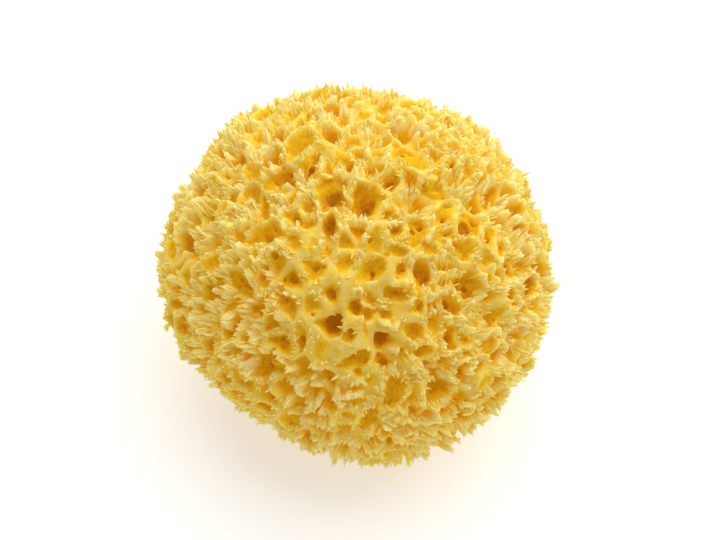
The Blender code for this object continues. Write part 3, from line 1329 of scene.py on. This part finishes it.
def add(tree, kind, settings=(), **links):
    """A node with its settings, and its inputs set or linked."""
    node = tree.nodes.new(kind)
    for name, value in dict(settings).items():
        setattr(node, name, value)
    connect(tree, node, **links)
    return node


# Grains of the spongin's patterns, in mm: its mottle, its felt, and its streaks in colour
# and in relief, which have theirs at this distance from the middle of the cut face
MOTTLE_GRAIN = 6
FELT_GRAIN = 0.5
COLOUR_STREAKS = 0.7
FELT_STREAKS = 0.8
STREAK_RADIUS = 60
# The felt's relief and how far light seeps under it, in mm, and the shares of that which
# red, green and blue light go
FELT_HEIGHT = 0.2
SEEP = 4
SEEP_BY_COLOUR = (1.0, 0.9, 0.28)


def marked(tree, name):
    """The value that each vertex was marked with."""
    return add(tree, "ShaderNodeAttribute", {"attribute_name": name}).outputs["Fac"]


def ranged(tree, source, low, high, least, most):
    """The source's values from low to high, turned to values from least to most."""
    node = add(tree, "ShaderNodeMapRange", _0=source, _1=low, _2=high, _3=least, _4=most)
    return node.outputs[0]


def grain_noise(tree, place, grain, detail):
    """Noise with a grain in mm."""
    node = add(tree, "ShaderNodeTexNoise", Vector=place, Scale=1 / (grain * MM), Detail=detail)
    return node.outputs["Fac"]


def growth_streaks(tree, place, across):
    """Noise that is drawn out along the growth lines, with a grain across them in mm."""
    growth = add(tree, "ShaderNodeVectorMath", {"operation": "NORMALIZE"}, _0=place)
    grown_out = add(
        tree,
        "ShaderNodeVectorMath",
        {"operation": "SCALE"},
        _0=growth.outputs[0],
        Scale=STREAK_RADIUS / across,
    )
    node = add(tree, "ShaderNodeTexNoise", Vector=grown_out.outputs[0], Scale=1.0, Detail=3.0)
    return node.outputs["Fac"]


def spongin_colour(tree, place, tip):
    """Pale on the tips, yellow on the crests, gold in the hollows and amber in the pores, and
    deeper as painted shade where the sponge closes round a place.
    """
    colours = bpy.context.scene.sponge_colours
    below = marked(tree, "below_crest")
    hollow = marked(tree, "hollow")
    enclosed_shade = marked(tree, "enclosure")
    mottle = grain_noise(tree, place, MOTTLE_GRAIN, 4.0)
    streaks = growth_streaks(tree, place, COLOUR_STREAKS)
    share = None
    # What darkens the spongin: its source and range, and the shares of the ramp it gives
    for source, low, high, least, most in (
        (below, -3.0, 6.0, 0.0, 0.75),
        (hollow, 0.0, 1.0, 0.0, 0.2),
        # The enclosure term is painted shade: the colour deepens where the sponge closes round a
        # place
        (enclosed_shade, 0.35, 0.9, 0.0, 0.22),
        (mottle, 0.2, 0.8, -0.08, 0.08),
        (streaks, 0.25, 0.75, -0.14, 0.14),
    ):
        part = ranged(tree, source, low, high, least, most)
        if share is not None:
            part = add(tree, "ShaderNodeMath", _0=share, _1=part).outputs[0]
        share = part
    ramp = add(tree, "ShaderNodeValToRGB", Fac=share)
    stops = ramp.color_ramp.elements
    stops[0].position, stops[0].color = 0.0, tip
    stops[1].position, stops[1].color = 1.0, colours.brown
    for position, colour in (
        (0.22, colours.crest),
        (0.44, colours.lemon),
        (0.6, colours.gold),
        (0.82, colours.amber),
    ):
        stop = stops.new(position)
        stop.color = colour
    return ramp.outputs["Color"]


def painted_seep_glow(tree):
    """Painted glow, an emission that stands for light from within: more where the sponge closes
    round a place, less deep in a pore.
    """
    glow = ranged(tree, marked(tree, "enclosure"), 0.4, 0.85, 0.12, 0.33)
    reach = ranged(tree, marked(tree, "below_crest"), 4.0, 10.0, 1.0, 0.6)
    node = add(tree, "ShaderNodeMath", {"operation": "MULTIPLY"}, _0=glow, _1=reach)
    return node.outputs[0]


def spongin(name, tip, glow):
    """A spongin with its tips' colour and its painted glow's, its shader, and its coordinates."""
    material = bpy.data.materials.new(name)
    material.use_nodes = True
    tree = material.node_tree
    tree.nodes.clear()
    place = add(tree, "ShaderNodeTexCoord").outputs["Object"]
    shader = add(
        tree,
        "ShaderNodeBsdfPrincipled",
        Base_Color=spongin_colour(tree, place, tip),
        Specular_IOR_Level=0.2,
        Emission_Color=glow,
    )
    add(tree, "ShaderNodeOutputMaterial", Surface=shader.outputs["BSDF"])
    return material, shader, place


def spongin_material():
    """Bleached spongin: warm felt, pale at its tips, that deepens to gold and amber inside.

    Light seeps through it, so its shadows look soft, and a painted glow lights its pores from
    within like wax.
    """
    colours = bpy.context.scene.sponge_colours
    material, shader, place = spongin("bleached_spongin", colours.body_tip, colours.painted_body_glow)
    tree = material.node_tree
    felt = grain_noise(tree, place, FELT_GRAIN, 3.0)
    streaks = growth_streaks(tree, place, FELT_STREAKS)
    height = add(tree, "ShaderNodeMath", _0=felt, _1=streaks).outputs[0]
    bump = add(tree, "ShaderNodeBump", Height=height, Strength=0.4, Distance=FELT_HEIGHT * MM)
    connect(
        tree,
        shader,
        Roughness=0.85,
        Normal=bump.outputs["Normal"],
        Subsurface_Weight=0.9,
        Subsurface_Scale=SEEP * MM,
        Subsurface_Radius=SEEP_BY_COLOUR,
        # Painted glow, strongest where the sponge closes round a place
        Emission_Strength=painted_seep_glow(tree),
    )
    return material


def fibre_material():
    """Loose spongin fibres: paler than the body, so that its outline looks soft and downy.

    Their even glow is painted light, an emission that stands for the light that comes through
    them.
    """
    colours = bpy.context.scene.sponge_colours
    material, shader, _ = spongin("spongin_fibres", colours.fibre_tip, colours.painted_fibre_glow)
    # Painted glow: an even emission over all the fibres
    connect(material.node_tree, shader, Roughness=0.8, Emission_Strength=0.24)
    return material


def paper_material():
    """White paper: a matt floor, bright enough to melt into the background."""
    material = bpy.data.materials.new("white_paper")
    material.use_nodes = True
    connect(
        material.node_tree,
        material.node_tree.nodes["Principled BSDF"],
        Base_Color=bpy.context.scene.sponge_colours.paper,
        Roughness=0.9,
        Emission_Color=WHITE,
        Emission_Strength=FLOOR_GLOW,
    )
    return material


# Lamps: name, bearing and rise in degrees, distance and size in metres, and power in watts
LAMPS = (
    ("key_light", 158, 47, 1.5, 3.0, 42.5),
    ("front_light", 60, 60, 1.2, 1.0, 1.0),
)
# The light that comes from all round, and that the floor gives back, and the floor's width
SKY_STRENGTH = 0.33
FLOOR_GLOW = 0.44
FLOOR_WIDTH = 6
# How far below the sponge's middle the camera is aimed, in mm
AIM_BELOW = 0.3
WHITE = (1, 1, 1, 1)


class SPONGE_OT_stage(bpy.types.Operator):
    """Set up the pale floor, the soft light and the photograph's camera"""

    bl_idname = "sponge.stage"
    bl_label = "Set Stage"

    def execute(self, context):
        studio = context.scene.sponge_studio
        scene = context.scene
        bpy.ops.mesh.primitive_plane_add(size=FLOOR_WIDTH, location=(0, 0, 0))
        floor = context.active_object
        floor.name = "floor"
        floor.data.materials.append(paper_material())
        floor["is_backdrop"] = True

        world = bpy.data.worlds.new("soft_white")
        world.use_nodes = True
        sky = world.node_tree.nodes["Background"]
        connect(world.node_tree, sky, Color=WHITE, Strength=SKY_STRENGTH)
        scene.world = world
        scene.view_settings.view_transform = "Standard"

        middle = Vector((0, 0, MIDDLE_HEIGHT * MM))
        for name, bearing, rise, away, size, power in LAMPS:
            light = bpy.data.lights.new(name, "AREA")
            light.size = size
            light.energy = power
            lamp = bpy.data.objects.new(name, light)
            back = Vector(toward(bearing, rise))
            lamp.location = middle + back * away
            lamp.rotation_euler = (-back).to_track_quat("-Z", "Y").to_euler()
            scene.collection.objects.link(lamp)

        camera = bpy.data.objects.new("camera", bpy.data.cameras.new("camera"))
        back = Vector(toward(0, math.degrees(studio.view_rise)))
        upward = Vector(toward(180, 90 - math.degrees(studio.view_rise)))
        aim = middle - upward * (AIM_BELOW * MM)
        camera.location = aim + back * studio.view_from
        camera.rotation_euler = (-back).to_track_quat("-Z", "Y").to_euler()
        camera.data.lens = camera.data.sensor_width * studio.view_from / studio.view_width
        camera.data.clip_start = 0.01
        scene.collection.objects.link(camera)
        scene.camera = camera
        return {"FINISHED"}


class SPONGE_PT_panel(bpy.types.Panel):
    """The sponge's sizes, colours and view, and what makes each of its parts"""

    bl_idname = "SPONGE_PT_panel"
    bl_label = "Natural Bath Sponge"
    bl_space_type = "VIEW_3D"
    bl_region_type = "UI"
    bl_category = "Sponge"

    def draw(self, context):
        """Shows each group of properties in a box, and a button for each operator."""
        scene = context.scene
        for group in (scene.sponge_form, scene.sponge_colours, scene.sponge_studio):
            box = self.layout.box()
            for name in type(group).__annotations__:
                box.prop(group, name)
        for operator in OPERATORS:
            self.layout.operator(operator.bl_idname)


OPERATORS = (SPONGE_OT_body, SPONGE_OT_fibres, SPONGE_OT_stage)
CLASSES = (SpongeForm, SpongeColours, SpongeStudio, *OPERATORS, SPONGE_PT_panel)


def register():
    """Registers the classes, and gives every scene the sponge's properties."""
    for cls in CLASSES:
        bpy.utils.register_class(cls)
    bpy.types.Scene.sponge_form = PointerProperty(type=SpongeForm)
    bpy.types.Scene.sponge_colours = PointerProperty(type=SpongeColours)
    bpy.types.Scene.sponge_studio = PointerProperty(type=SpongeStudio)


def unregister():
    """Takes back what register gave."""
    del bpy.types.Scene.sponge_studio
    del bpy.types.Scene.sponge_colours
    del bpy.types.Scene.sponge_form
    for cls in reversed(CLASSES):
        bpy.utils.unregister_class(cls)


def main():
    register()
    bpy.ops.sponge.body()
    bpy.ops.sponge.fibres()
    bpy.ops.sponge.stage()
    boxes = {"cad": CAD_BOX, "visual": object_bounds()}
    plain = {name: [list(corner) for corner in box] for name, box in boxes.items()}


if __name__ == "__main__":
    main()
